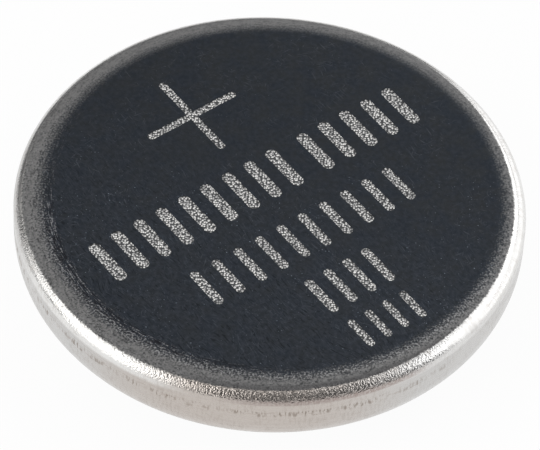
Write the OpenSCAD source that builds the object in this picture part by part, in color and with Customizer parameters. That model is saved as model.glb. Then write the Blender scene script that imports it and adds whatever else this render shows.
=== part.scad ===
// Lithium coin cell, 12.5 mm across and 2.5 mm high, lying on its negative face.
// The turning axis is Z, the negative face is on z = 0 and the positive face is on top.
// Sections are drawn with the radius along X and the height along Y, then turned about Z.

/* [Cell] */
// Overall diameter
cell_d = 12.5; // [10:0.1:24]
// Overall height, from negative face to positive face
cell_h = 2.5; // [2.05:0.05:5]

/* [Positive can] */
// Thickness of the can's sheet
can_t = 0.2; // [0.15:0.01:0.25]
// Outside radius of the edge between the face and the wall
corner_r = 0.3; // [0.26:0.01:0.4]
// Width of the lowered rim around the face
rim_w = 0.65; // [0.45:0.05:1]
// How far the rim falls below the face
rim_drop = 0.03; // [0.01:0.01:0.08]
// Outside radius of the crimp that closes over the gasket
crimp_r = 1.2; // [0.9:0.05:1.45]
// How far round its bend the crimp runs
crimp_angle = 72; // [60:1:80]
// Height of the crimp's lowest line above the negative face
crimp_lift = 0.4; // [0.3:0.05:0.5]

/* [Negative cap] */
// Thickness of the cap's sheet
cap_t = 0.2; // [0.15:0.01:0.25]
// Outside radius at the edge of the negative face
cap_edge_r = 0.3; // [0.26:0.01:0.4]
// Width of the shoulder between the face's step and the skirt
shoulder_w = 0.8; // [0.65:0.05:1.2]
// Inside radius of the hollow bend where the step meets the shoulder
cove_r = 0.1; // [0.05:0.01:0.14]
// Outside radius of the bend from the shoulder up into the skirt
skirt_bend_r = 0.5; // [0.3:0.02:0.6]

/* [Gasket] */
// Thickness of the gasket between the skirt and the can's wall
gasket_t = 0.4; // [0.3:0.02:0.5]
// Thickness left where the crimp pinches the gasket on the shoulder
pinch_t = 0.3; // [0.2:0.02:0.4]
// Thickness of the gasket's base, between the skirt's edge and the can
gasket_base_t = 0.35; // [0.25:0.01:0.45]
// Width of the lip that stands inside the skirt
gasket_lip_w = 0.3; // [0.2:0.02:0.4]
// Height of that lip
gasket_lip_h = 0.4; // [0.2:0.02:0.5]
// Gap between the gasket's toe and the step of the cap
toe_gap = 0.12; // [0.05:0.01:0.16]

/* [Electrodes] */
// Thickness of the lithium disc
anode_t = 0.5; // [0.3:0.05:0.7]
// Distance from the lithium's edge to the cap's step, inside
anode_inset = 0.3; // [0.2:0.05:0.6]
// Thickness of the separator
separator_t = 0.15; // [0.1:0.01:0.2]
// Height that the separator's edge is turned up around the pellet
separator_edge_h = 0.8; // [0.4:0.05:0.95]
// Thickness of the collector ring's sheet
ring_t = 0.15; // [0.1:0.01:0.2]
// Width of the ring's foot, which lies on the can under the pellet
ring_foot_w = 0.75; // [0.4:0.05:1.2]
// Length of pellet left free below the ring
ring_stop = 0.15; // [0.1:0.01:0.3]
// Play around the ring and around the separator
stack_play = 0.05; // [0.02:0.01:0.1]

/* [Face marks] */
// Depth of the etched marks
mark_depth = 0.02; // [0.01:0.005:0.05]
// Turn of the rows of marks on the face, in degrees
mark_turn = 39; // [0:1:90]
// Length of the plus sign's arms
plus_w = 2.65; // [1.5:0.05:3]
// Width of the plus sign's strokes
plus_stroke = 0.2; // [0.1:0.01:0.4]
// Distance of the plus sign from the middle of the face
plus_off = 3.26; // [2.5:0.02:3.6]
// Radius of the face that the marks are drawn for; on another face they grow or shrink with it
marks_face_r = 5.6; // [5.3:0.05:7]

/* [Hidden] */
$fn = 180;
can_r = cell_d / 2;
face_r = can_r - rim_w;
rim_z = cell_h - rim_drop;
crimp_z = crimp_lift + crimp_r;          // height of the crimp's centre
crimp_c = can_r - crimp_r;               // radius of the crimp's centre
skirt_r = can_r - can_t - gasket_t;      // outside of the cap's skirt
step_r = skirt_r - shoulder_w;           // outside of the step around the negative face
shoulder_z = crimp_lift + can_t + pinch_t;
skirt_top = rim_z - can_t - gasket_base_t;
lip_r = skirt_r - cap_t - gasket_lip_w;  // inside of the gasket
toe_r = step_r + toe_gap;

cup_r = step_r - cap_t;                  // inside of the cap's step
separator_r = cup_r - stack_play;
ring_r = separator_r - separator_t - stack_play;
pellet_r = ring_r - ring_t;
anode_r = cup_r - anode_inset;
separator_z = cap_t + anode_t;
pellet_z = separator_z + separator_t;
stack_top = cell_h - can_t;

// One row of upright strokes on the face, with its place across the rows (y), its two ends
// along the row, the height and width of a stroke, and the number of strokes.
// Fields: y, start, end, height, stroke, count
mark_rows = [
    [0.57, -4.6, 1.0, 1.36, 0.31, 9],
    [0.57, 1.65, 4.6, 1.36, 0.31, 5],
    [-1.45, -3.1, 2.95, 1.2, 0.24, 10],
    [-3.22, -1.0, 0.95, 1.2, 0.24, 4],
    [-4.67, -0.9, 0.85, 0.95, 0.2, 4]
];

// A box from one corner to the opposite one
module span(x0, y0, x1, y1) {
    translate([x0, y0]) square([x1 - x0, y1 - y0]);
}

// Everything within the can's outer skin, drawn in by inset
module can_outline(inset) {
    corner_x = can_r - corner_r;
    corner_y = rim_z - corner_r;
    span(0, crimp_lift + inset, crimp_c, crimp_z);
    intersection() {
        translate([crimp_c, crimp_z]) circle(crimp_r - inset);
        span(crimp_c, crimp_lift, can_r, crimp_z);
    }
    polygon([[0, crimp_z], [can_r - inset, crimp_z], [can_r - inset, corner_y],
             [corner_x, corner_y], [corner_x, rim_z - inset], [face_r, cell_h - inset],
             [0, cell_h - inset]]);
    translate([corner_x, corner_y]) circle(corner_r - inset);
}

// Everything within the cap's outer skin, drawn in by inset and closed at the height top
module cap_outline(inset, top) {
    step_c = step_r - cap_edge_r;
    bend_c = skirt_r - skirt_bend_r;
    bend_z = shoulder_z + skirt_bend_r;
    cove_z = shoulder_z - cove_r;
    span(0, inset, step_c, bend_z);
    span(0, cap_edge_r, step_r - inset, bend_z);
    translate([step_c, cap_edge_r]) circle(cap_edge_r - inset);
    difference() {
        span(step_r - inset, cove_z, step_r + cove_r, shoulder_z + inset);
        translate([step_r + cove_r, cove_z]) circle(cove_r + inset);
    }
    span(0, shoulder_z + inset, bend_c, top);
    intersection() {
        translate([bend_c, bend_z]) circle(skirt_bend_r - inset);
        span(bend_c, shoulder_z, skirt_r, bend_z);
    }
    span(0, bend_z, skirt_r - inset, top);
}

// What lies inward of the crimp's edge, to be cut away from the can's section
module crimp_opening() {
    reach = 2 * crimp_r;
    edge_x = crimp_c + reach * cos(crimp_angle);
    edge_y = crimp_z - reach * sin(crimp_angle);
    polygon([[crimp_c, crimp_z], [edge_x, edge_y], [0, edge_y], [0, crimp_z]]);
}

// One stroke with round ends, standing along Y
module stroke(height, width) {
    straight = height - width;
    square([width, straight], center = true);
    for (end = [-1, 1]) translate([0, end * straight / 2]) circle(d = width);
}

// Strokes evenly spaced between the two ends of a row
module stroke_row(row) {
    y = row[0];
    height = row[3];
    width = row[4];
    count = row[5];
    first = row[1] + width / 2;
    pitch = (row[2] - row[1] - width) / (count - 1);
    for (i = [0 : count - 1]) translate([first + i * pitch, y]) stroke(height, width);
}

// The polarity sign and the rows of strokes
module face_marks() {
    scale(face_r / marks_face_r) rotate(mark_turn) {
        translate([0, plus_off]) {
            stroke(plus_w, plus_stroke);
            rotate(90) stroke(plus_w, plus_stroke);
        }
        for (row = mark_rows) stroke_row(row);
    }
}

module positive_can() {
    color([0.72, 0.71, 0.68]) difference() {
        rotate_extrude() difference() {
            can_outline(0);
            can_outline(can_t);
            crimp_opening();
        }
        translate([0, 0, cell_h - mark_depth]) linear_extrude(can_t) face_marks();
    }
}

module negative_cap() {
    color([0.76, 0.75, 0.73]) rotate_extrude() difference() {
        cap_outline(0, skirt_top);
        cap_outline(cap_t, cell_h);
    }
}

module gasket() {
    color([0.13, 0.13, 0.14]) rotate_extrude() {
        difference() {
            intersection() {
                can_outline(can_t);
                union() {
                    span(lip_r, skirt_top, can_r, cell_h);
                    span(toe_r, 0, can_r, skirt_top);
                }
            }
            cap_outline(0, skirt_top);
        }
        intersection() {
            cap_outline(cap_t, skirt_top);
            span(lip_r, skirt_top - gasket_lip_h, skirt_r, skirt_top);
        }
    }
}

module cathode_pellet() {
    color([0.11, 0.11, 0.12]) difference() {
        translate([0, 0, pellet_z]) cylinder(r = pellet_r, h = stack_top - pellet_z);
        translate([0, 0, stack_top - ring_t]) difference() {
            cylinder(r = can_r, h = can_t + ring_t);
            cylinder(r = ring_r - ring_foot_w, h = can_t + ring_t);
        }
    }
}

module collector_ring() {
    color([0.66, 0.66, 0.66]) rotate_extrude() {
        span(pellet_r, pellet_z + ring_stop, ring_r, stack_top);
        span(ring_r - ring_foot_w, stack_top - ring_t, ring_r, stack_top);
    }
}

module separator() {
    color([0.93, 0.93, 0.9]) rotate_extrude() difference() {
        span(0, separator_z, separator_r, separator_z + separator_edge_h);
        span(0, pellet_z, separator_r - separator_t, stack_top);
    }
}

module lithium_anode() {
    color([0.8, 0.8, 0.78]) translate([0, 0, cap_t]) cylinder(r = anode_r, h = anode_t);
}

positive_can();
negative_cap();
gasket();
cathode_pellet();
collector_ring();
separator();
lithium_anode();
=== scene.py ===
import math

import bmesh
import bpy
from mathutils import Matrix, Vector


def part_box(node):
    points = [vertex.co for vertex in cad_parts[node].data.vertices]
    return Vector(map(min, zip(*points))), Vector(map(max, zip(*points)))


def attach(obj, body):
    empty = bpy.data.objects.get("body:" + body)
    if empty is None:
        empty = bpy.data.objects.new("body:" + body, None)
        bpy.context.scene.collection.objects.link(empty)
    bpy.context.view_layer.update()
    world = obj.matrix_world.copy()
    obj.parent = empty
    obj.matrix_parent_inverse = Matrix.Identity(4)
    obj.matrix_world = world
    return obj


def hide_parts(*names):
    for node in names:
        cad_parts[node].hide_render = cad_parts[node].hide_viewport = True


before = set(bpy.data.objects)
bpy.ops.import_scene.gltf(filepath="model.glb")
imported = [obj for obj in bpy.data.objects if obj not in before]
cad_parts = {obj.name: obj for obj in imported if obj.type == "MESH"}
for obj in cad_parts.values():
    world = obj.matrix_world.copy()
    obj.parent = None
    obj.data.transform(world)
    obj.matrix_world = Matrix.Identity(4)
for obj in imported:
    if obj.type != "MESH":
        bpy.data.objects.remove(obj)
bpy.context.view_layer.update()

mm = 0.001
touch = 1e-6  # two places closer than this are the same place
mergeBelow = touch / 10
levelFace = 0.99  # a face whose normal points this far up or down is level
smoothBelow = 30  # degrees between two faces
around = 256  # facets around each turned piece
print("frame loaded:", len(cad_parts), "nodes")


def deselectAll():
    if bpy.context.mode != "OBJECT":
        bpy.ops.object.mode_set(mode="OBJECT")
    bpy.ops.object.select_all(action="DESELECT")


def selectOnly(*pieces):
    deselectAll()
    for piece in pieces:
        piece.select_set(True)
    bpy.context.view_layer.objects.active = pieces[0]


def nameNew(name):
    piece = bpy.context.object
    piece.name = name
    piece.data.name = name
    return piece


def applyPlace():
    bpy.ops.object.transform_apply(location=True, rotation=True, scale=True)


def editOnly(piece, mode="EDGE"):
    selectOnly(piece)
    bpy.ops.object.mode_set(mode="EDIT")
    bpy.ops.mesh.select_mode(type=mode)
    bpy.ops.mesh.select_all(action="DESELECT")


def pick(piece, kind, test):
    # selects the vertices, edges or faces for which test(item) is true
    mesh = bmesh.from_edit_mesh(piece.data)
    bpy.ops.mesh.select_all(action="DESELECT")
    for item in {"VERT": mesh.verts, "EDGE": mesh.edges, "FACE": mesh.faces}[kind]:
        if test(item):
            item.select_set(True)
    mesh.select_flush_mode()
    bmesh.update_edit_mesh(piece.data)


def pickEnd(piece, side):
    # the flat end of a drum: the upper one for 1, the lower one for -1
    pick(piece, "FACE", lambda face: side * face.normal.z > levelFace and len(face.verts) == around)


def insetEnd(piece, side, width):
    pickEnd(piece, side)
    bpy.ops.mesh.inset(thickness=width, depth=0)


def bevelRing(piece, radius, height, size, segments):
    # rounds the edge that lies on the circle of this radius and height
    def onRing(edge):
        return all(
            abs(math.hypot(v.co.x, v.co.y) - radius) < touch and abs(v.co.z - height) < touch
            for v in edge.verts
        )
    pick(piece, "EDGE", onRing)
    bpy.ops.mesh.bevel(offset=size, segments=segments, profile=0.5, affect="EDGES")


def addDrum(name, radius, low, high):
    # a closed drum round the axis, left open for editing
    deselectAll()
    bpy.ops.mesh.primitive_cylinder_add(vertices=around, radius=radius, depth=high - low,
                                        location=(0, 0, (low + high) / 2), end_fill_type="NGON")
    drum = nameNew(name)
    applyPlace()
    editOnly(drum)
    return drum


def applyModifier(piece, kind, **settings):
    selectOnly(piece)
    modifier = piece.modifiers.new(kind.lower(), kind)
    for name, value in settings.items():
        setattr(modifier, name, value)
    bpy.ops.object.modifier_apply(modifier=modifier.name)


def thicken(piece, sheet):
    applyModifier(piece, "SOLIDIFY", thickness=sheet, offset=-1, use_even_offset=True)


def mergeDoubles():
    bpy.ops.mesh.select_all(action="SELECT")
    bpy.ops.mesh.remove_doubles(threshold=mergeBelow)


def closeAndSmooth(piece):
    editOnly(piece, "VERT")
    mergeDoubles()
    bpy.ops.mesh.normals_make_consistent(inside=False)
    bpy.ops.object.mode_set(mode="OBJECT")
    applyPlace()
    bpy.ops.object.shade_smooth_by_angle(angle=math.radians(smoothBelow))
    return piece


editorGrid = (220, 200)  # width of a column and height of a row of nodes


def layOut(tree):
    # lines the nodes up in columns, each to the left of all that it feeds
    column = {node.name: 0 for node in tree.nodes}
    moved = True
    while moved:
        moved = False
        for link in tree.links:
            wanted = column[link.to_node.name] + 1
            if column[link.from_node.name] < wanted:
                column[link.from_node.name] = wanted
                moved = True
    filled = dict.fromkeys(column.values(), 0)
    for node in tree.nodes:
        place = column[node.name]
        node.location = (-editorGrid[0] * place, -editorGrid[1] * filled[place])
        filled[place] += 1


def finishPiece(piece, node, slotName, *materials):
    for material in materials:
        piece.data.materials.append(material)
        layOut(material.node_tree)
    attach(piece, "root")
    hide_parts(node)


def setSocket(tree, socket, value):
    # links another node's output, or sets a number or a colour
    if isinstance(value, bpy.types.NodeSocket):
        tree.links.new(value, socket)
    elif socket.type == "RGBA":
        socket.default_value = (*value, 1)
    else:
        socket.default_value = value


def setSockets(tree, node, **sockets):
    for name, value in sockets.items():
        setSocket(tree, node.inputs[name.replace("_", " ")], value)
    return node


def setInOrder(tree, node, *values):
    for socket, value in zip(node.inputs, values):
        setSocket(tree, socket, value)
    return node.outputs[0]


def addNode(tree, kind, **sockets):
    return setSockets(tree, tree.nodes.new("ShaderNode" + kind), **sockets)


def mathNode(tree, operation, *values, kind="Math"):
    made = addNode(tree, kind)
    made.operation = operation
    return setInOrder(tree, made, *values)


def times(tree, first, *others):
    for other in others:
        first = mathNode(tree, "MULTIPLY", first, other)
    return first


def larger(tree, first, second):
    return mathNode(tree, "MAXIMUM", first, second)


def addShare(tree, value, share, base):
    # base, and this share of value on top
    return mathNode(tree, "MULTIPLY_ADD", value, share, base)


def mapRange(tree, value, low, high, toLow=0.0, toHigh=1.0):
    made = addNode(tree, "MapRange", Value=value, From_Min=low, From_Max=high, To_Min=toLow, To_Max=toHigh)
    made.interpolation_type = "SMOOTHSTEP"
    return made.outputs["Result"]


def between(tree, mask, bare, covered):
    # a value for where the mask is 0, and one for where it is 1
    return mapRange(tree, mask, 0.0, 1.0, bare, covered)


def window(tree, value, start, full, end, gone):
    # rises from start to full and falls again from end to gone
    return times(tree, mapRange(tree, value, start, full), mapRange(tree, value, end, gone, 1.0, 0.0))


mixSockets = {"FLOAT": (0, 2, 3, 0), "RGBA": (0, 6, 7, 2)}  # share, first, second, result


def mixed(tree, share, first, second, kind="RGBA"):
    made = addNode(tree, "Mix")
    made.data_type = kind
    *places, result = mixSockets[kind]
    for place, value in zip(places, (share, first, second)):
        setSocket(tree, made.inputs[place], value)
    return made.outputs[result]


def paint(tree, base, *layers):
    # lays colours over each other, each as thick as its mask says
    for mask, colour in layers:
        base = mixed(tree, mask, base, colour)
    return base


def addRelief(tree, shader, relief, depth):
    bump = addNode(tree, "Bump", Strength=1.0, Distance=depth, Height=relief)
    setSockets(tree, shader, Normal=bump.outputs["Normal"])


def newGroup(name, inputs, outputs):
    # inputs: (name, kind, value); outputs: (name, kind)
    tree = bpy.data.node_groups.new(name, "ShaderNodeTree")
    for title, kind, value in inputs:
        socket = tree.interface.new_socket(title, in_out="INPUT", socket_type="NodeSocket" + kind)
        socket.default_value = value
    for title, kind in outputs:
        tree.interface.new_socket(title, in_out="OUTPUT", socket_type="NodeSocket" + kind)
    return tree, tree.nodes.new("NodeGroupInput").outputs, tree.nodes.new("NodeGroupOutput")


effects = {
    "grainRoughness": 0.65,
    "lineNoise": {"Scale": 1.0, "Detail": 3.0, "Roughness": 0.6},
    "hairlineNoise": {"Scale": 1.0, "Detail": 1.0, "Roughness": 0.5},
    "hairlineEnds": 14.0,  # how sharply a hairline ends
    "sway": {"Scale": 0.6, "Detail": 1.0},  # bends a millimetre
    "swayed": (0.8, 0.8, 0.8),  # millimetres
}


def makeCellSpace():
    # where a point lies on the cell: place in millimetres, distance from the axis, turn and height
    tree, _, sink = newGroup("cellSpace", [], [
        ("Place", "Vector"), ("Radius", "Float"), ("Turn", "Float"), ("Height", "Float")])
    coordinates = addNode(tree, "TexCoord")
    scaled = addNode(tree, "Mapping", Vector=coordinates.outputs["Object"], Scale=(1 / mm, 1 / mm, 1 / mm))
    place = scaled.outputs["Vector"]
    x, y, z = addNode(tree, "SeparateXYZ", Vector=place).outputs
    squares = mathNode(tree, "ADD", times(tree, x, x), times(tree, y, y))
    setSockets(tree, sink, Place=place, Radius=mathNode(tree, "SQRT", squares),
               Turn=mathNode(tree, "ARCTAN2", y, x), Height=z)
    return tree


def makeGrain():
    # fine irregular grains with a hard or a soft edge
    tree, given, sink = newGroup("grain", [
        ("Place", "Vector", (0, 0, 0)), ("PerMillimetre", "Float", 12.0), ("Detail", "Float", 3.0),
        ("Low", "Float", 0.4), ("High", "Float", 0.6)], [("Mask", "Float"), ("Raw", "Float")])
    noise = addNode(tree, "TexNoise", Vector=given["Place"], Scale=given["PerMillimetre"],
                    Detail=given["Detail"], Roughness=effects["grainRoughness"]).outputs["Fac"]
    shape = addNode(tree, "MapRange", Value=noise, From_Min=given["Low"], From_Max=given["High"])
    setSockets(tree, sink, Mask=shape.outputs["Result"], Raw=noise)
    return tree


def makeTurningLines():
    # fine lines that run around the axis, uneven from line to line and along each line
    tree, given, sink = newGroup("turningLines", [
        ("Radius", "Float", 0.0), ("Turn", "Float", 0.0), ("Height", "Float", 0.0),
        ("PerMillimetre", "Float", 14.0), ("Breaks", "Float", 2.5)], [("Mask", "Float")])
    across = mathNode(tree, "ADD", times(tree, given["Radius"], given["PerMillimetre"]),
                      times(tree, given["Height"], given["PerMillimetre"]))
    sine, cosine = [times(tree, mathNode(tree, wave, given["Turn"]), given["Breaks"])
                    for wave in ("SINE", "COSINE")]
    place = addNode(tree, "CombineXYZ", X=across, Y=sine, Z=cosine)
    noise = addNode(tree, "TexNoise", Vector=place.outputs[0], **effects["lineNoise"])
    setSockets(tree, sink, Mask=noise.outputs["Fac"])
    return tree


def makeHairlines():
    # short hairlines that lie one way and bend a little, worn in by handling
    tree, given, sink = newGroup("hairlines", [
        ("Place", "Vector", (0, 0, 0)), ("Direction", "Float", 0.8), ("Length", "Float", 1.0),
        ("Width", "Float", 0.05), ("Amount", "Float", 0.62)], [("Mask", "Float")])
    sway = addNode(tree, "TexNoise", Vector=given["Place"], **effects["sway"])
    bent = mathNode(tree, "MULTIPLY_ADD", sway.outputs["Color"], effects["swayed"], given["Place"],
                    kind="VectorMath")
    turned = addNode(tree, "VectorRotate", Vector=bent, Angle=given["Direction"])
    turned.rotation_type = "Z_AXIS"
    scale = addNode(tree, "CombineXYZ", X=mathNode(tree, "DIVIDE", 1.0, given["Length"]),
                    Y=mathNode(tree, "DIVIDE", 1.0, given["Width"]), Z=1.0)
    stretched = mathNode(tree, "MULTIPLY", turned.outputs["Vector"], scale.outputs[0], kind="VectorMath")
    noise = addNode(tree, "TexNoise", Vector=stretched, **effects["hairlineNoise"])
    over = mathNode(tree, "SUBTRACT", noise.outputs["Fac"], given["Amount"])
    mask = times(tree, over, effects["hairlineEnds"])
    mask.node.use_clamp = True
    setSockets(tree, sink, Mask=mask)
    return tree


cellSpace = makeCellSpace()
grain = makeGrain()
turningLines = makeTurningLines()
hairlines = makeHairlines()
for effect in (cellSpace, grain, turningLines, hairlines):
    layOut(effect)
print("shared effects built")


def placeEffect(tree, group, space, *values):
    # a shared effect, told where on the cell it is; values fill its other inputs in their order
    made = addNode(tree, "Group")
    made.node_tree = group
    others = iter(values)
    for socket in made.inputs:
        setSocket(tree, socket, space.outputs.get(socket.name) or next(others))
    return made.outputs


def effectMask(tree, group, space, *values):
    return placeEffect(tree, group, space, *values)["Mask"]


def lineMasks(tree, space, rows):
    # the deepest of several sets of hairlines
    deepest, *others = [effectMask(tree, hairlines, space, *row) for row in rows]
    for lines in others:
        deepest = larger(tree, deepest, lines)
    return deepest


def turnedTo(tree, space, direction):
    # 1 on the side that lies in this direction, in degrees, and -1 on the far side
    off = mathNode(tree, "SUBTRACT", space.outputs["Turn"], math.radians(direction))
    return mathNode(tree, "COSINE", off)


def newMaterial(name):
    material = bpy.data.materials.new(name)
    material.use_nodes = True
    tree = material.node_tree
    return material, tree, tree.nodes["Principled BSDF"]


def newFinish(name):
    # a material for a piece, with the node that says where on the cell a point lies
    material, tree, shader = newMaterial(name)
    space = addNode(tree, "Group")
    space.node_tree = cellSpace
    return material, tree, shader, space


viewPoint = {
    "elevation": 48.99,  # degrees above the table
    "roll": 3.1,
    "distance": 0.1,
    "aim": (0.024 * mm, -0.913 * mm),  # on the plane of the positive face
    "lens": 275.6,
    "sensor": 36,
    "nearest": 0.001,
    "farthest": 5,
}


def makeCamera():
    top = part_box("positive_can")[1].z
    rise = math.radians(viewPoint["elevation"])
    back = Vector((0, -math.cos(rise), math.sin(rise)))
    aim = Vector((*viewPoint["aim"], top))
    bpy.ops.object.camera_add(location=aim + back * viewPoint["distance"])
    camera = bpy.context.object
    camera.name = "benchCamera"
    look = back.to_track_quat("Z", "Y").to_matrix() @ Matrix.Rotation(
        math.radians(viewPoint["roll"]), 3, "Z")
    camera.rotation_euler = look.to_euler()
    camera.data.sensor_width = viewPoint["sensor"]
    camera.data.lens = viewPoint["lens"]
    camera.data.clip_start = viewPoint["nearest"]
    camera.data.clip_end = viewPoint["farthest"]
    bpy.context.scene.camera = camera


lighting = {
    "surround": (0.1, 0.101, 0.104),
    "white": (1.0, 1.0, 1.0),
    "warm": (1.0, 0.99, 0.975),
    "away": 0.25,  # metres from the cell
    "boxes": {  # direction and height in degrees, width, height, brightness, colour
        "rightBox": (27, 17.5, 0.475, 0.158, 1.31, "white"),
        "rightHighBox": (34, 51.2, 0.596, 0.113, 1.8, "white"),
        "leftBox": (214, 27, 0.14, 0.255, 2.2, "warm"),
        "leftFrontBox": (241, 38, 0.06, 0.11, 1.0, "warm"),
        "leftHighBox": (162, 57, 0.28, 0.09, 2.1, "warm"),
        "leftLowBox": (180, 26, 0.2, 0.13, 1.3, "warm"),
    },
}


def makeLight():
    world = bpy.data.worlds.new("studioRoom")
    bpy.context.scene.world = world
    bpy.context.scene.view_settings.view_transform = "Standard"
    world.use_nodes = True
    background = world.node_tree.nodes["Background"]
    setSockets(world.node_tree, background, Color=lighting["surround"])
    for name, (turn, rise, width, height, brightness, colour) in lighting["boxes"].items():
        turn, rise = math.radians(turn), math.radians(rise)
        place = lighting["away"] * Vector((math.cos(rise) * math.cos(turn), math.cos(rise) * math.sin(turn),
                                           math.sin(rise)))
        bpy.ops.object.light_add(type="AREA", location=place)
        box = bpy.context.object
        box.name = name
        box.data.shape = "RECTANGLE"
        box.data.size = width
        box.data.size_y = height
        box.data.energy = brightness * math.pi * width * height
        box.data.color = lighting[colour]
        box.rotation_euler = place.to_track_quat("Z", "Y").to_euler()
        box.visible_camera = False


floorLook = {
    "size": 3.0,
    "under": 0.01 * mm,
    "paper": (0.86, 0.86, 0.86),
    "white": 1.0,
    "seen": 0.96,  # share of white in it for the camera
    "mirrored": 0.9,  # and for what it is mirrored in
}


def makeFloor():
    deselectAll()
    bpy.ops.mesh.primitive_plane_add(size=floorLook["size"], location=(0, 0, -floorLook["under"]))
    floor = nameNew("paleFloor")
    material, tree, shader = newMaterial("floorPaper")
    tree.nodes.remove(shader)
    paper = addNode(tree, "BsdfDiffuse", Color=floorLook["paper"]).outputs[0]
    glow = addNode(tree, "Emission", Strength=floorLook["white"]).outputs[0]
    ray = addNode(tree, "LightPath").outputs
    mirrored = larger(tree, ray["Is Glossy Ray"], ray["Is Transmission Ray"])
    share = larger(tree, times(tree, ray["Is Camera Ray"], floorLook["seen"]),
                   times(tree, mirrored, floorLook["mirrored"]))
    paper = setInOrder(tree, addNode(tree, "MixShader"), share, paper, glow)
    # from below it is clear, so that the negative face can be seen
    clear = addNode(tree, "BsdfTransparent").outputs[0]
    below = times(tree, addNode(tree, "NewGeometry").outputs["Backfacing"], ray["Is Camera Ray"])
    whole = setInOrder(tree, addNode(tree, "MixShader"), below, paper, clear)
    setSockets(tree, tree.nodes["Material Output"], Surface=whole)
    layOut(tree)
    floor.data.materials.append(material)


makeCamera()
makeLight()
makeFloor()
print("camera, light and floor set")


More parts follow.
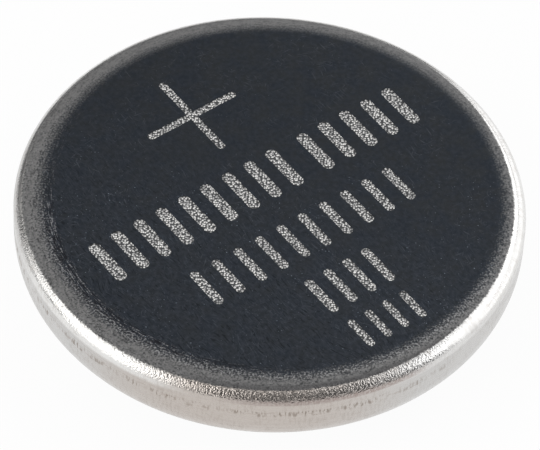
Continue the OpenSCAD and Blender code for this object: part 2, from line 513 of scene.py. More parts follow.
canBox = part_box("positive_can")
can = {
    "radius": canBox[1].x,
    "top": canBox[1].z,
    "sheet": 0.2 * mm,
    "cornerRadius": 0.3 * mm,
    "cornerSegments": 12,
    "rimWidth": 0.65 * mm,
    "rimDrop": 0.03 * mm,
    "crimpRadius": 1.2 * mm,
    "crimpSegments": 25,
    "crimpAngle": 72,  # degrees round its bend
    "crimpLift": 0.4 * mm,
    "faceEdgeRadius": 0.05 * mm,
    "faceEdgeSegments": 3,
    "faceInset": 0.06 * mm,
    # etched marks
    "markDepth": 0.02 * mm,
    "cutterHeight": 4,  # times the marks' depth
    "etched": (0.25, 2),  # times the marks' depth, between which a facet below the face is etched
    "strokeFacets": 32,
    "markTurn": 39,  # degrees
    "plusLength": 2.65 * mm,
    "plusStroke": 0.2 * mm,
    "plusAway": 3.26 * mm,
    "markRows": [  # away, start, end, height, stroke, count; millimetres
        (0.57, -4.6, 1.0, 1.36, 0.31, 9),
        (0.57, 1.65, 4.6, 1.36, 0.31, 5),
        (-1.45, -3.1, 2.95, 1.2, 0.24, 10),
        (-3.22, -1.0, 0.95, 1.2, 0.24, 4),
        (-4.67, -0.9, 0.85, 0.95, 0.2, 4),
    ],
    # directions in degrees that its wear, its painted highlights and its painted shade lie in
    "sides": {"front": -94.5, "shade": -74, "left": -149, "highlight": -133.5, "dip": -7, "right": 0},
    # direction and millimetres by which the dark face and the rim lie off the middle
    "offMiddle": {"face": (26, 0.09), "rim": (158, 0.02)},
    "grains": {  # grains a millimetre, detail, and the noise where a grain starts and is full
        "fine": (20.0, 1.0, 0.3, 0.7),
        "frost": (8.0, 4.0, 0.42, 0.68),
        "clouds": (2.2, 5.0, 0.38, 0.62),
        "flecks": (24.0, 0.0, 0.765, 0.86),
        "handled": (0.9, 1.0, 0.42, 0.6),
        "patches": (1.3, 2.0, 0.37, 0.52),
    },
    "peel": (22.0, 1.0, 0.0, 1.0),
    # lines a millimetre, and how often they break off on their way round
    "lines": {"streaks": (24.0, 26.0), "arcs": (38.0, 20.0), "drawn": (9.0, 3.0)},
    "etchDots": {"Scale": 16.5, "Randomness": 0.85},  # dots a millimetre
    # direction in radians, length and width in millimetres, how far the noise must rise
    "scratches": [(0.35, 0.3, 0.035, 0.68), (1.0, 0.4, 0.035, 0.68), (1.8, 0.25, 0.035, 0.69),
                  (2.6, 0.5, 0.035, 0.69)],
    "hairlines": [(0.95, 0.4, 0.024, 0.63), (0.6, 0.3, 0.024, 0.64), (1.5, 0.25, 0.024, 0.65)],
    "nicks": [(0.85, 0.28, 0.045, 0.62), (0.5, 0.2, 0.03, 0.64)],
    "scuffs": [  # noise round and up the wall, its detail and its roughness: ticks, then smears
        (105.0, 3.6, 2.0, 0.6),
        (26.0, 16.0, 3.0, 0.65),
    ],
    "bands": {  # start, full, end, gone: millimetres from the axis or above the table
        "edgeStreaks": (5.3, 5.43, 5.64, 5.74),
        "rimSpecks": (5.46, 5.58, 5.66, 5.78),
        "scuffRow": (1.78, 1.86, 1.98, 2.05),
        "glint": (2.26, 2.31, 2.36, 2.41),
        # tarnishAndShade: the band of painted shadow on the corner in front
        "tarnishAndShade": (2.14, 2.21, 2.28, 2.37),
    },
    "ramps": {  # start and full, and what is given there where it isn't 0 and 1
        # over millimetres from the axis
        "faceEdge": (5.72, 6.12),
        "rimEdge": (6.03, 6.08),
        "grooveShade": (5.82, 5.93),
        "peelRadius": (5.86, 6.0),
        # over millimetres above the table
        "cornerHighlightHeight": (2.1, 2.22),
        "highlightHeight": (2.06, 2.21),
        "peelHeight": (2.18, 2.3),
        # over the place on the face, from its far side to its near side
        "near": (3.8, -4.5),
        # over the turn to a side, which is 1 there and -1 on the side across from it
        "dip": (0.45, 0.95),
        "farGrain": (-0.9, 0.2, 0.35, 1.0),
        "shadeEdge": (0.35, 0.9),
        "farEdge": (-0.2, -0.9),
        "farFlecks": (-0.7, 0.4, 0.25, 1.0),
        "leftScratches": (0.2, 0.95, 0.15, 0.22),
        "leftStreaks": (0.35, 0.85),
        "farStreaks": (-0.1, 0.4, 0.25, 1.0),
        "frontSpecks": (0.0, 0.6, 0.0, 0.65),
        "shadeGroove": (0.7, 1.0, 0.0, 0.6),
        "handledRow": (0.5, 0.9, 0.25, 1.0),
        "cornerHighlightSide": (-0.99, -0.85, 0.2, 1.0),
        "warmShadeFront": (0.72, 1.0, 0.0, 0.95),
        "highlightSide": (0.87, 0.99),
        "glintSide": (0.8, 0.97),
        "shadeSide": (0.88, 0.99),
        "peelFront": (0.45, 0.95, 0.02, 1.0),
        "peelLeft": (0.5, 1.0, 0.02, 0.4),
        "peelAll": (-0.9, 0.2, 0.006, 0.03),
        # over another texture
        "nearFrost": (0.0, 1.0, 0.35, 0.65),
        "cloudedWear": (0.0, 1.0, 1.0, 0.2),
        "handledFlecks": (0.0, 1.0, 0.25, 0.85),
        "darkArcs": (0.5, 0.42),
        "paleArcs": (0.66, 0.8),
        "rimStreaks": (0.45, 0.57),
        "rimSpecks": (0.55, 0.8),
        "ticks": (0.46, 0.62),
        "smears": (0.52, 0.66),
        "shadeGrain": (0.15, 0.7, 0.5, 1.0),
        "steelGloss": (0.4, 0.6, 0.2, 0.3),
        "etchDots": (0.2, 0.52, 1.0, 0.0),
        "etchUneven": (0.2, 0.8),
    },
    "shares": {  # how much each of these counts
        "rimDip": 0.07,  # millimetres that the rim's painted grey reflection is narrower on the side its dip points to
        "edgeGrain": 0.2,  # millimetres by which each moves the edge of the dark face or of the rim
        "edgeStreaks": 0.2,
        "shadeEdge": 0.08,
        "farEdge": 0.035,
        "rimGrain": 0.04,
        "scuffShift": 0.06,  # millimetres that the row of scuffs strays up
        "nearLean": 0.35,
        # how much the face is painted paler towards the near side, a painted reflection
        "paintedNearReflection": 0.17,
        "nicks": 0.7,
        "arcGrain": 0.22,
        "rimStreaks": 0.6,
        "looseTicks": 0.22,
        "looseSmears": 0.45,
        "ticks": 0.6,
        "smears": 0.4,
        "dullTicks": 0.3,
    },
    # colours
    # faceDarkReflection and faceCloud paint the dark reflection in the steel face as its colour: a painted
    # reflection
    "faceDarkReflection": (0.0163, 0.0212, 0.0289),
    "faceCloud": (0.0211, 0.0242, 0.0277),
    # faceFrost: the paler painted reflection towards the near side, broken up by frost grain
    "faceFrost": (0.041, 0.0478, 0.0605),
    "faceHairline": (0.05, 0.06, 0.074),
    "faceNick": (0.008, 0.01, 0.013),
    "faceFleck": (0.24, 0.28, 0.34),
    "faceScratch": (0.2, 0.22, 0.26),
    "streakDark": (0.014, 0.014, 0.018),
    "streakPale": (0.24, 0.24, 0.25),
    # rimDark, rimPale, rimStreak and rimSpeck paint the grey reflection in the rim's slope: a painted
    # reflection
    "rimDark": (0.0592, 0.0592, 0.06),
    "rimPale": (0.263, 0.262, 0.263),
    "rimStreak": (0.222, 0.22, 0.219),
    "rimSpeck": (0.45, 0.45, 0.455),
    # painted shade in the rim's groove
    "rimGrooveShade": (0.07, 0.068, 0.07),
    "steelDark": (0.57, 0.563, 0.552),
    "steelPale": (0.635, 0.627, 0.616),
    # painted highlight on the corner
    "steelCornerHighlight": (0.745, 0.74, 0.73),
    # painted highlight on the corner, on the left and along a line on the right
    "steelPaintedHighlight": (0.82, 0.815, 0.8),
    # painted warm shade on the front of the wall
    "steelWarmShade": (0.547, 0.497, 0.458),
    "steelShaded": (0.38, 0.32, 0.298),
    "scuff": (0.26, 0.21, 0.17),
    "smear": (0.33, 0.26, 0.22),
    "etchDark": (0.045, 0.047, 0.05),
    "etchGrey": (0.42, 0.42, 0.42),
    "etchPale": (0.98, 0.975, 0.96),
    # gloss and relief
    "metallic": (0.55, 1.0),  # of the dark face and the steel
    "specular": 0.15,
    "dullness": (0.37, 0.45),  # of the dark face and the rim
    "etchDullness": 0.6,
    "peelDepth": 0.022 * mm,
}
shares = can["shares"]


def makeStroke(length, width):
    # a cutter with round ends that stands along Y and reaches the marks' depth below the face
    deep = can["cutterHeight"] * can["markDepth"]
    facets = can["strokeFacets"]
    deselectAll()
    bpy.ops.mesh.primitive_cylinder_add(vertices=facets, radius=width / 2, depth=deep,
                                        location=(0, 0, can["top"] - can["markDepth"] + deep / 2),
                                        rotation=(0, 0, math.pi / facets))
    stroke = nameNew("stroke")
    applyPlace()
    editOnly(stroke, "VERT")
    for side in (-1, 1):
        pick(stroke, "VERT", lambda vertex: vertex.co.y * side > 0)
        bpy.ops.transform.translate(value=(0, side * (length - width) / 2, 0))
    deselectAll()
    return stroke


def copyTo(piece, across, away, quarter=0.0):
    # a copy with its own mesh, turned by quarter and put in its place on the turned rows
    copy = piece.copy()
    copy.data = piece.data.copy()
    bpy.context.collection.objects.link(copy)
    turn = Matrix.Rotation(math.radians(can["markTurn"]), 4, "Z")
    copy.data.transform(turn @ Matrix.Translation((across, away, 0)) @ Matrix.Rotation(quarter, 4, "Z"))
    return copy


def makeCutters():
    cutters = []
    for away, start, end, height, width, count in can["markRows"]:
        stroke = makeStroke(height * mm, width * mm)
        first = start + width / 2
        pitch = (end - start - width) / (count - 1)
        cutters += [copyTo(stroke, (first + i * pitch) * mm, away * mm) for i in range(count)]
        bpy.data.objects.remove(stroke)
    stroke = makeStroke(can["plusLength"], can["plusStroke"])
    upright = copyTo(stroke, 0, can["plusAway"])
    level = copyTo(stroke, 0, can["plusAway"], math.pi / 2)
    bpy.data.objects.remove(stroke)
    applyModifier(upright, "BOOLEAN", operation="UNION", object=level, solver="EXACT")
    bpy.data.objects.remove(level)
    cutters.append(upright)
    selectOnly(*cutters)
    bpy.ops.object.join()
    return cutters[0]


def makeCanShell():
    rim = can["top"] - can["rimDrop"]
    low = can["crimpLift"]
    shell = addDrum("canShell", can["radius"], low, rim)
    bevelRing(shell, can["radius"], rim, can["cornerRadius"], can["cornerSegments"])
    bevelRing(shell, can["radius"], low, can["crimpRadius"], can["crimpSegments"])
    # the crimp stops part of the way round its bend, and below it the can is open
    bend = Vector((can["radius"] - can["crimpRadius"], low + can["crimpRadius"]))

    def beyondCrimp(face):
        middle = face.calc_center_median()
        across = math.hypot(middle.x, middle.y) - bend.x
        down = bend.y - middle.z
        return down > 0 and math.degrees(math.atan2(down, across)) > can["crimpAngle"]

    pick(shell, "FACE", beyondCrimp)
    bpy.ops.mesh.delete(type="FACE")
    insetEnd(shell, 1, can["rimWidth"] - can["cornerRadius"])
    bpy.ops.transform.translate(value=(0, 0, can["rimDrop"]))
    edge = can["radius"] - can["rimWidth"]
    bevelRing(shell, edge, can["top"], can["faceEdgeRadius"], can["faceEdgeSegments"])
    insetEnd(shell, 1, can["faceInset"])
    thicken(shell, can["sheet"])
    cutter = makeCutters()
    applyModifier(shell, "BOOLEAN", operation="DIFFERENCE", object=cutter, solver="EXACT")
    bpy.data.objects.remove(cutter)
    return closeAndSmooth(shell)


def canRamp(tree, name, value):
    return mapRange(tree, value, *can["ramps"][name])


def canBand(tree, name, value):
    return window(tree, value, *can["bands"][name])


def canPlaces(tree, space):
    # how far a point is turned to each side, and how far it is from the middles of the face and the rim
    at = {name: turnedTo(tree, space, direction) for name, direction in can["sides"].items()}
    for name, (direction, away) in can["offMiddle"].items():
        at[name] = addShare(tree, turnedTo(tree, space, direction), -away, space.outputs["Radius"])
    at["rim"] = addShare(tree, canRamp(tree, "dip", at["dip"]), shares["rimDip"], at["rim"])
    return at


def canTextures(tree, space, at):
    # the textures that the parts of its finish share
    marked = {}
    for group, rows in ((grain, can["grains"]), (turningLines, can["lines"])):
        for name, values in rows.items():
            marked[name] = effectMask(tree, group, space, *values)
    # the grain swings less from its middle on the far side
    middle = 0.5
    swing = canRamp(tree, "farGrain", at["front"])
    for name in ("fine", "streaks"):
        off = mathNode(tree, "SUBTRACT", marked[name], middle)
        marked[name + "Eased"] = addShare(tree, off, swing, middle)
    return marked


def canZones(tree, at, marked):
    # 0 on the dark face and 1 off it, then 0 on the rim and 1 on bare steel, with edges broken up by grain
    edge = at["face"]
    for name, moved in (("edgeGrain", marked["fineEased"]), ("edgeStreaks", marked["streaksEased"]),
                        ("shadeEdge", canRamp(tree, "shadeEdge", at["shade"])),
                        ("farEdge", canRamp(tree, "farEdge", at["front"]))):
        edge = addShare(tree, moved, shares[name], edge)
    rim = addShare(tree, marked["fineEased"], shares["rimGrain"], at["rim"])
    return canRamp(tree, "faceEdge", edge), canRamp(tree, "rimEdge", rim)


def faceColour(tree, space, at, marked):
    # a painted dark reflection, clouded, paler towards the near side by a painted reflection broken up by
    # frost, with hairlines and nicks more on the near side, flecked and lightly scratched
    place = addNode(tree, "SeparateXYZ", Vector=space.outputs["Place"]).outputs
    # near: the painted reflection grows paler towards the near side
    near = canRamp(tree, "near", addShare(tree, place["X"], shares["nearLean"], place["Y"]))
    frosted = times(tree, marked["frost"], canRamp(tree, "nearFrost", near))
    wearAndPaintedHighlight = times(tree, near, canRamp(tree, "cloudedWear", marked["clouds"]))
    flecks = times(tree, marked["flecks"], canRamp(tree, "handledFlecks", marked["handled"]),
                   canRamp(tree, "farFlecks", at["front"]))
    scratches = times(tree, lineMasks(tree, space, can["scratches"]), marked["handled"],
                      canRamp(tree, "leftScratches", at["left"]))
    # streaks that run round just inside its edge, mostly on the left
    ring = times(tree, canBand(tree, "edgeStreaks", at["face"]), canRamp(tree, "leftStreaks", at["left"]),
                 canRamp(tree, "farStreaks", at["front"]))
    rough = addShare(tree, marked["fine"], shares["arcGrain"], marked["arcs"])
    face = mixed(tree, marked["clouds"], can["faceDarkReflection"], can["faceCloud"])
    return paint(
        tree, face, (addShare(tree, near, shares["paintedNearReflection"], frosted), can["faceFrost"]),
        (times(tree, lineMasks(tree, space, can["hairlines"]), wearAndPaintedHighlight), can["faceHairline"]),
        (times(tree, lineMasks(tree, space, can["nicks"]), near, shares["nicks"]), can["faceNick"]),
        (flecks, can["faceFleck"]), (scratches, can["faceScratch"]),
        (times(tree, ring, canRamp(tree, "darkArcs", marked["arcs"])), can["streakDark"]),
        (times(tree, ring, canRamp(tree, "paleArcs", rough)), can["streakPale"]))


def rimColour(tree, space, at, marked):
    # grey as a painted reflection in the rim's slope, streaked round, with paler specks and a painted shade
    # line along its groove in front
    streaks = times(tree, shares["rimStreaks"], canRamp(tree, "rimStreaks", marked["streaks"]))
    specks = times(tree, canBand(tree, "rimSpecks", at["face"]), canRamp(tree, "rimSpecks", marked["fine"]),
                   canRamp(tree, "frontSpecks", at["front"]))
    # painted shade along the groove at the rim's outer edge, strongest on the shade side
    grooveShade = times(tree, canRamp(tree, "grooveShade", space.outputs["Radius"]),
                   canRamp(tree, "shadeGroove", at["shade"]))
    rim = mixed(tree, marked["fineEased"], can["rimDark"], can["rimPale"])
    return paint(tree, rim, (streaks, can["rimStreak"]), (specks, can["rimSpeck"]),
                 (grooveShade, can["rimGrooveShade"]))


def scuffMasks(tree, space, at, marked):
    # upright ticks and level smears, most of them in one row round the wall
    height = space.outputs["Height"]
    noises = []
    for turnScale, heightScale, detail, roughness in can["scuffs"]:
        along = addNode(tree, "CombineXYZ", X=times(tree, space.outputs["Turn"], turnScale),
                        Y=times(tree, height, heightScale))
        noise = addNode(tree, "TexNoise", Vector=along.outputs[0], Scale=1.0, Detail=detail,
                        Roughness=roughness)
        noises.append(noise.outputs["Fac"])
    strayed = addShare(tree, marked["patches"], shares["scuffShift"], height)
    row = times(tree, canBand(tree, "scuffRow", strayed),
                canRamp(tree, "handledRow", larger(tree, at["front"], at["left"])))
    ticks = times(tree, canRamp(tree, "ticks", noises[0]), marked["patches"],
                  larger(tree, row, shares["looseTicks"]))
    smears = times(tree, canRamp(tree, "smears", noises[1]),
                   larger(tree, row, times(tree, marked["patches"], shares["looseSmears"])))
    return ticks, smears


def steelColour(tree, space, at, marked, ticks, smears):
    # bare steel on the corner, the wall and the crimp, with a painted highlight on the corner and painted
    # warm shade in front
    height = space.outputs["Height"]
    # painted highlight: the corner is painted brighter than the wall, less so on the left
    corner = times(tree, canRamp(tree, "cornerHighlightHeight", height), canRamp(tree, "cornerHighlightSide", at["right"]))
    # painted highlight on the corner, on the left and along a line on the right
    wearAndPaintedHighlight = times(tree, canRamp(tree, "highlightHeight", height), canRamp(tree, "highlightSide", at["highlight"]))
    glint = times(tree, canBand(tree, "glint", height), canRamp(tree, "glintSide", at["right"]))
    # painted shadow on the corner in front, broken up by grain
    paintedFrontShade = times(tree, canBand(tree, "tarnishAndShade", height), canRamp(tree, "shadeSide", at["shade"]),
                      canRamp(tree, "shadeGrain", marked["fine"]))
    # painted shade: the steel is painted darker and warmer in front
    steel = mixed(tree, marked["drawn"], can["steelDark"], can["steelPale"])
    return paint(
        tree, steel, (corner, can["steelCornerHighlight"]),
        (canRamp(tree, "warmShadeFront", at["front"]), can["steelWarmShade"]),
        (larger(tree, wearAndPaintedHighlight, glint), can["steelPaintedHighlight"]), (paintedFrontShade, can["steelShaded"]),
        (times(tree, ticks, shares["ticks"]), can["scuff"]),
        (times(tree, smears, shares["smears"]), can["smear"]))


def cornerRelief(tree, space, at):
    # grain where the sheet was drawn over the corner, fading down the wall and to the far side
    near = larger(tree, canRamp(tree, "peelFront", at["front"]), canRamp(tree, "peelLeft", at["left"]))
    corner = times(tree, canRamp(tree, "peelRadius", space.outputs["Radius"]),
                   canRamp(tree, "peelHeight", space.outputs["Height"]), near)
    depth = mathNode(tree, "ADD", corner, canRamp(tree, "peelAll", at["front"]))
    return times(tree, depth, placeEffect(tree, grain, space, *can["peel"])["Raw"])


def makeCanSteel():
    material, tree, shader, space = newFinish("canSteel")
    at = canPlaces(tree, space)
    marked = canTextures(tree, space, at)
    offFace, offRim = canZones(tree, at, marked)
    ticks, smears = scuffMasks(tree, space, at, marked)
    top = mixed(tree, offFace, faceColour(tree, space, at, marked), rimColour(tree, space, at, marked))
    steel = steelColour(tree, space, at, marked, ticks, smears)
    # the face and rim are dull, the corner bright, the wall brushed by its tool
    dull = between(tree, offFace, *can["dullness"])
    bright = addShare(tree, ticks, shares["dullTicks"], canRamp(tree, "steelGloss", marked["drawn"]))
    setSockets(tree, shader, Base_Color=mixed(tree, offRim, top, steel),
               Metallic=between(tree, offRim, *can["metallic"]),
               Roughness=mixed(tree, offRim, dull, bright, "FLOAT"),
               Specular_IOR_Level=can["specular"])
    addRelief(tree, shader, cornerRelief(tree, space, at), can["peelDepth"])
    return material


def makeEtchedSteel():
    material, tree, shader, space = newFinish("etchedSteel")
    cells = addNode(tree, "TexVoronoi", Vector=space.outputs["Place"], **can["etchDots"])
    cells.voronoi_dimensions = "2D"
    dots = canRamp(tree, "etchDots", cells.outputs["Distance"])
    uneven = canRamp(tree, "etchUneven", cells.outputs["Color"])
    frosted = mixed(tree, uneven, can["etchGrey"], can["etchPale"])
    setSockets(tree, shader, Base_Color=mixed(tree, dots, can["etchDark"], frosted),
               Roughness=can["etchDullness"])
    return material


def makeCan():
    shell = makeCanShell()
    finishPiece(shell, "positive_can", "can_steel", makeCanSteel(), makeEtchedSteel())
    etchHigh, etchLow = [can["top"] - depths * can["markDepth"] for depths in can["etched"]]
    inner = can["radius"] - can["rimWidth"]
    for face in shell.data.polygons:
        if etchLow < face.center.z < etchHigh and face.center.xy.length < inner:
            face.material_index = 1
    print("positive can:", len(shell.data.polygons), "faces")


makeCan()


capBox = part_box("negative_cap")
cap = {
    "skirtRadius": capBox[1].x,
    "top": capBox[1].z,
    "sheet": 0.2 * mm,
    "shoulder": 0.9 * mm,
    "bendRadius": 0.5 * mm,
    "bendSegments": 12,
    "stepRadius": 4.85 * mm,
    "coveRadius": 0.1 * mm,
    "coveSegments": 6,
    "edgeRadius": 0.3 * mm,
    "edgeSegments": 10,
    # finish: the effects' values in their order, then how much each counts
    "lines": (11.0, 0.8),
    "lineContrast": (0.36, 0.64),
    "stains": (0.7, 4.0, 0.4, 0.7),
    "grain": (15.0, 2.0, 0.3, 0.7),
    "scratches": [(0.5, 1.2, 0.035, 0.62), (1.9, 0.8, 0.03, 0.64)],
    "stained": 0.35,
    "scratched": 0.45,
    "grained": 0.5,
    "steelDark": (0.6, 0.59, 0.57),
    "steelPale": (0.7, 0.695, 0.68),
    "stain": (0.5, 0.48, 0.45),
    "scratch": (0.86, 0.86, 0.85),
    "roughness": 0.26,  # where it has no lines and no stains
    "lineDullness": 0.08,
    "stainDullness": 0.1,
    "lineDepth": 0.004 * mm,
}


def makeCapShell():
    skirt, step, shoulder = cap["skirtRadius"], cap["stepRadius"], cap["shoulder"]
    shell = addDrum("capShell", skirt, shoulder, cap["top"])
    bevelRing(shell, skirt, shoulder, cap["bendRadius"], cap["bendSegments"])
    pickEnd(shell, 1)
    bpy.ops.mesh.delete(type="FACE")
    insetEnd(shell, -1, skirt - cap["bendRadius"] - step)
    bpy.ops.mesh.extrude_region_move(TRANSFORM_OT_translate={"value": (0, 0, -shoulder)})
    bevelRing(shell, step, shoulder, cap["coveRadius"], cap["coveSegments"])
    bevelRing(shell, step, 0, cap["edgeRadius"], cap["edgeSegments"])
    insetEnd(shell, -1, cap["edgeRadius"])
    thicken(shell, cap["sheet"])
    return closeAndSmooth(shell)


def makeCapSteel():
    material, tree, shader, space = newFinish("capSteel")
    lines = mapRange(tree, effectMask(tree, turningLines, space, *cap["lines"]), *cap["lineContrast"])
    stains = effectMask(tree, grain, space, *cap["stains"])
    wearAndPaintedHighlight = lineMasks(tree, space, cap["scratches"])
    steel = mixed(tree, lines, cap["steelDark"], cap["steelPale"])
    steel = paint(tree, steel, (times(tree, stains, cap["stained"]), cap["stain"]),
                  (times(tree, wearAndPaintedHighlight, cap["scratched"]), cap["scratch"]))
    dull = addShare(tree, lines, cap["lineDullness"], cap["roughness"])
    setSockets(tree, shader, Base_Color=steel, Metallic=1.0,
               Roughness=addShare(tree, stains, cap["stainDullness"], dull))
    fine = placeEffect(tree, grain, space, *cap["grain"])["Raw"]
    relief = mathNode(tree, "SUBTRACT", addShare(tree, fine, cap["grained"], lines), wearAndPaintedHighlight)
    addRelief(tree, shader, relief, cap["lineDepth"])
    return material


finishPiece(makeCapShell(), "negative_cap", "cap_steel", makeCapSteel())
print("negative cap done")


gasket = {
    "top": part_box("gasket")[1].z,
    "toeRadius": 4.97 * mm,
    "toeLow": 0.6 * mm,
    "toeSoft": 0.04 * mm,
    "lipRadius": 5.15 * mm,
    "lipDepth": 0.4 * mm,
    "crimpStart": -89,  # degrees round the crimp's bend
    "steps": {"toe": 4, "crimp": 20, "corner": 5, "bend": 10},
    "slack": 0.002 * mm,  # kept free of the steel on every side
    "moulding": (6.0, 3.0, 0.3, 0.7),
    "dustGrain": (14.0, 1.0, 0.66, 0.8),
    "dusty": 0.5,
    "plasticDark": (0.016, 0.017, 0.02),
    "plasticPale": (0.03, 0.031, 0.034),
    "dust": (0.2, 0.2, 0.19),
    "roughness": (0.3, 0.7, 0.42, 0.6),  # from and to in the moulding, and how dull it is there
    "mouldDepth": 0.006 * mm,
}


def arc(middle, radius, start, end, steps):
    # points of (radius, height) along an arc, from one angle to the other in degrees
    angles = [math.radians(start + (end - start) * step / steps) for step in range(steps + 1)]
    return [(middle[0] + radius * math.cos(angle), middle[1] + radius * math.sin(angle)) for angle in angles]


def turnOutline(name, outline):
    # draws a closed outline from one point, then turns it about the axis
    deselectAll()
    bpy.ops.mesh.primitive_plane_add(size=mm, location=(outline[0][0], 0, outline[0][1]))
    piece = nameNew(name)
    applyPlace()
    editOnly(piece, "VERT")
    bpy.ops.mesh.select_all(action="SELECT")
    bpy.ops.mesh.merge(type="CENTER")
    for here, there in zip(outline, outline[1:] + outline[:1]):
        bpy.ops.mesh.extrude_region_move(
            TRANSFORM_OT_translate={"value": (there[0] - here[0], 0, there[1] - here[1])})
    mergeDoubles()
    bpy.ops.mesh.spin(steps=around, angle=2 * math.pi, center=(0, 0, 0), axis=(0, 0, 1))
    mergeDoubles()
    bpy.ops.mesh.normals_make_consistent(inside=False)
    return piece


def makeGasketBody():
    crimp = (can["radius"] - can["crimpRadius"], can["crimpLift"] + can["crimpRadius"])
    corner = (can["radius"] - can["cornerRadius"], can["top"] - can["rimDrop"] - can["cornerRadius"])
    bend = (cap["skirtRadius"] - cap["bendRadius"], cap["shoulder"] + cap["bendRadius"])
    soft, steps = gasket["toeSoft"], gasket["steps"]
    toe, lip = gasket["toeRadius"] + soft, gasket["lipRadius"]
    lipEnd = cap["top"] - gasket["lipDepth"]
    skirtInside = cap["skirtRadius"] - cap["sheet"]
    outline = arc((toe, gasket["toeLow"] + soft), soft, 180, 270, steps["toe"])
    outline += arc(crimp, can["crimpRadius"] - can["sheet"], gasket["crimpStart"], 0, steps["crimp"])
    outline += arc(corner, can["cornerRadius"] - can["sheet"], 0, 90, steps["corner"])
    outline += [(can["radius"] - can["rimWidth"], gasket["top"]), (lip, gasket["top"]), (lip, lipEnd),
                (skirtInside, lipEnd), (skirtInside, cap["top"]), (cap["skirtRadius"], cap["top"])]
    outline += arc(bend, cap["bendRadius"], 0, -90, steps["bend"])
    outline += arc((toe, cap["shoulder"] - soft), soft, 90, 180, steps["toe"])
    body = turnOutline("gasketBody", outline)
    bpy.ops.transform.shrink_fatten(value=-gasket["slack"])
    return closeAndSmooth(body)


def makeGasketPlastic():
    material, tree, shader, space = newFinish("gasketPlastic")
    moulded = placeEffect(tree, grain, space, *gasket["moulding"])
    plastic = mixed(tree, moulded["Mask"], gasket["plasticDark"], gasket["plasticPale"])
    dust = times(tree, effectMask(tree, grain, space, *gasket["dustGrain"]), gasket["dusty"])
    setSockets(tree, shader, Base_Color=mixed(tree, dust, plastic, gasket["dust"]),
               Roughness=mapRange(tree, moulded["Raw"], *gasket["roughness"]))
    addRelief(tree, shader, moulded["Raw"], gasket["mouldDepth"])
    return material


finishPiece(makeGasketBody(), "gasket", "gasket_plastic", makeGasketPlastic())
print("gasket done")


pelletLow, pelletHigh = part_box("cathode_pellet")
pellet = {
    "edge": 0.06 * mm,
    "edgeSegments": 4,
    "grain": (13.0, 4.0, 0.3, 0.72),
    "sparks": (22.0, 0.0, 0.74, 0.8),
    "powder": ((0.008, 0.008, 0.009), (0.035, 0.034, 0.034)),
    "spark": (0.16, 0.16, 0.17),
    "roughness": (0.85, 0.4),  # of the powder and of a spark
    "lumpDepth": 0.012 * mm,
}
ringLow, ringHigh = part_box("collector_ring")
ring = {
    "sheet": 0.15 * mm,
    "footRadius": 3.65 * mm,
    "edge": 0.02 * mm,
    "edgeSegments": 2,
    "lines": (14.0, 1.0),
    "steel": ((0.5, 0.5, 0.49), (0.68, 0.68, 0.67)),
    "roughness": (0.3, 0.7, 0.25, 0.42),  # from and to in the lines, and how dull it is there
    "lineDepth": 0.004 * mm,
}
ringFoot = ringHigh.z - ring["sheet"]


def makePellet():
    cake = addDrum("pelletCake", pelletHigh.x, pelletLow.z, pelletHigh.z)
    # the collector's foot is pressed into its upper edge
    pick(cake, "VERT", lambda vertex: vertex.co.z > ringFoot)
    bpy.ops.transform.translate(value=(0, 0, ringFoot - pelletHigh.z))
    insetEnd(cake, 1, pelletHigh.x - ring["footRadius"])
    bpy.ops.mesh.extrude_region_move(TRANSFORM_OT_translate={"value": (0, 0, ring["sheet"])})
    bevelRing(cake, pelletHigh.x, pelletLow.z, pellet["edge"], pellet["edgeSegments"])
    bevelRing(cake, ring["footRadius"], pelletHigh.z, ring["edge"], ring["edgeSegments"])
    return closeAndSmooth(cake)


def makePressedPowder():
    material, tree, shader, space = newFinish("pressedPowder")
    grains = placeEffect(tree, grain, space, *pellet["grain"])
    sparks = effectMask(tree, grain, space, *pellet["sparks"])
    powder = mixed(tree, grains["Mask"], *pellet["powder"])
    setSockets(tree, shader, Base_Color=mixed(tree, sparks, powder, pellet["spark"]),
               Roughness=between(tree, sparks, *pellet["roughness"]))
    addRelief(tree, shader, grains["Raw"], pellet["lumpDepth"])
    return material


def makeRing():
    inner, foot = ringHigh.x - ring["sheet"], ring["footRadius"]
    outline = [(foot, ringFoot), (inner, ringFoot), (inner, ringLow.z), (ringHigh.x, ringLow.z),
               (ringHigh.x, ringHigh.z), (foot, ringHigh.z)]
    band = turnOutline("collectorBand", outline)
    bpy.ops.object.mode_set(mode="OBJECT")
    applyModifier(band, "BEVEL", width=ring["edge"], segments=ring["edgeSegments"], limit_method="ANGLE")
    return closeAndSmooth(band)


def makeRingSteel():
    material, tree, shader, space = newFinish("ringSteel")
    lines = effectMask(tree, turningLines, space, *ring["lines"])
    setSockets(tree, shader, Base_Color=mixed(tree, lines, *ring["steel"]), Metallic=1.0,
               Roughness=mapRange(tree, lines, *ring["roughness"]))
    addRelief(tree, shader, lines, ring["lineDepth"])
    return material


separatorLow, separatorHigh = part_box("separator")
separator = {
    "thickness": 0.15 * mm,
    "bend": 0.16 * mm,
    "bendSegments": 6,
    "fibres": [(0.2, 0.7, 0.03, 0.5), (1.3, 0.7, 0.03, 0.5), (2.4, 0.7, 0.03, 0.5)],
    "damp": (0.8, 3.0, 0.35, 0.65),
    "felt": ((0.62, 0.61, 0.56), (0.74, 0.73, 0.69)),
    "fibre": (0.88, 0.88, 0.85),
    "roughness": (0.7, 0.9),
    "fibreDepth": 0.01 * mm,
}


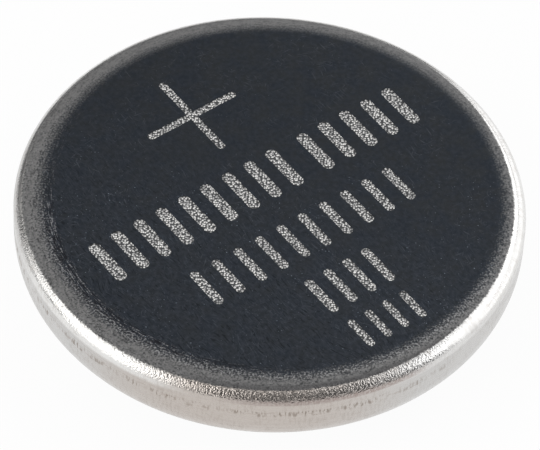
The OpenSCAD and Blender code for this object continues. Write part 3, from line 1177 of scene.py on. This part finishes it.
def makeSeparator():
    cup = addDrum("separatorCup", separatorHigh.x, separatorLow.z, separatorHigh.z)
    bevelRing(cup, separatorHigh.x, separatorLow.z, separator["bend"], separator["bendSegments"])
    pickEnd(cup, 1)
    bpy.ops.mesh.delete(type="FACE")
    insetEnd(cup, -1, separator["bend"])
    thicken(cup, separator["thickness"])
    return closeAndSmooth(cup)


def makeFelt():
    material, tree, shader, space = newFinish("separatorFelt")
    fibres = lineMasks(tree, space, separator["fibres"])
    damp = effectMask(tree, grain, space, *separator["damp"])
    felt = mixed(tree, damp, *separator["felt"])
    setSockets(tree, shader, Base_Color=mixed(tree, fibres, felt, separator["fibre"]),
               Roughness=between(tree, damp, *separator["roughness"]))
    addRelief(tree, shader, fibres, separator["fibreDepth"])
    return material


lithiumLow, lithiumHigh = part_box("lithium_anode")
lithium = {
    "edge": 0.05 * mm,
    "edgeSegments": 4,
    "dulled": (1.1, 5.0, 0.42, 0.66),
    "rolled": (0.4, 2.5, 0.06, 0.5),
    "metal": ((0.62, 0.62, 0.6), (0.76, 0.76, 0.75)),
    "tarnishAndShade": (0.36, 0.35, 0.34),
    "roughness": (0.38, 0.65),  # bright and tarnished
    "rollDepth": 0.004 * mm,
}


def makeLithium():
    disc = addDrum("lithiumDisc", lithiumHigh.x, lithiumLow.z, lithiumHigh.z)
    for height in (lithiumLow.z, lithiumHigh.z):
        bevelRing(disc, lithiumHigh.x, height, lithium["edge"], lithium["edgeSegments"])
    return closeAndSmooth(disc)


def makeLithiumMetal():
    material, tree, shader, space = newFinish("lithiumMetal")
    tarnishAndShade = effectMask(tree, grain, space, *lithium["dulled"])
    rolled = effectMask(tree, hairlines, space, *lithium["rolled"])
    metal = mixed(tree, rolled, *lithium["metal"])
    setSockets(tree, shader, Base_Color=mixed(tree, tarnishAndShade, metal, lithium["tarnishAndShade"]), Metallic=1.0,
               Roughness=between(tree, tarnishAndShade, *lithium["roughness"]))
    addRelief(tree, shader, rolled, lithium["rollDepth"])
    return material


finishPiece(makePellet(), "cathode_pellet", "pellet_black", makePressedPowder())
finishPiece(makeRing(), "collector_ring", "ring_steel", makeRingSteel())
finishPiece(makeSeparator(), "separator", "separator_felt", makeFelt())
finishPiece(makeLithium(), "lithium_anode", "lithium", makeLithiumMetal())
print("inner pieces done")
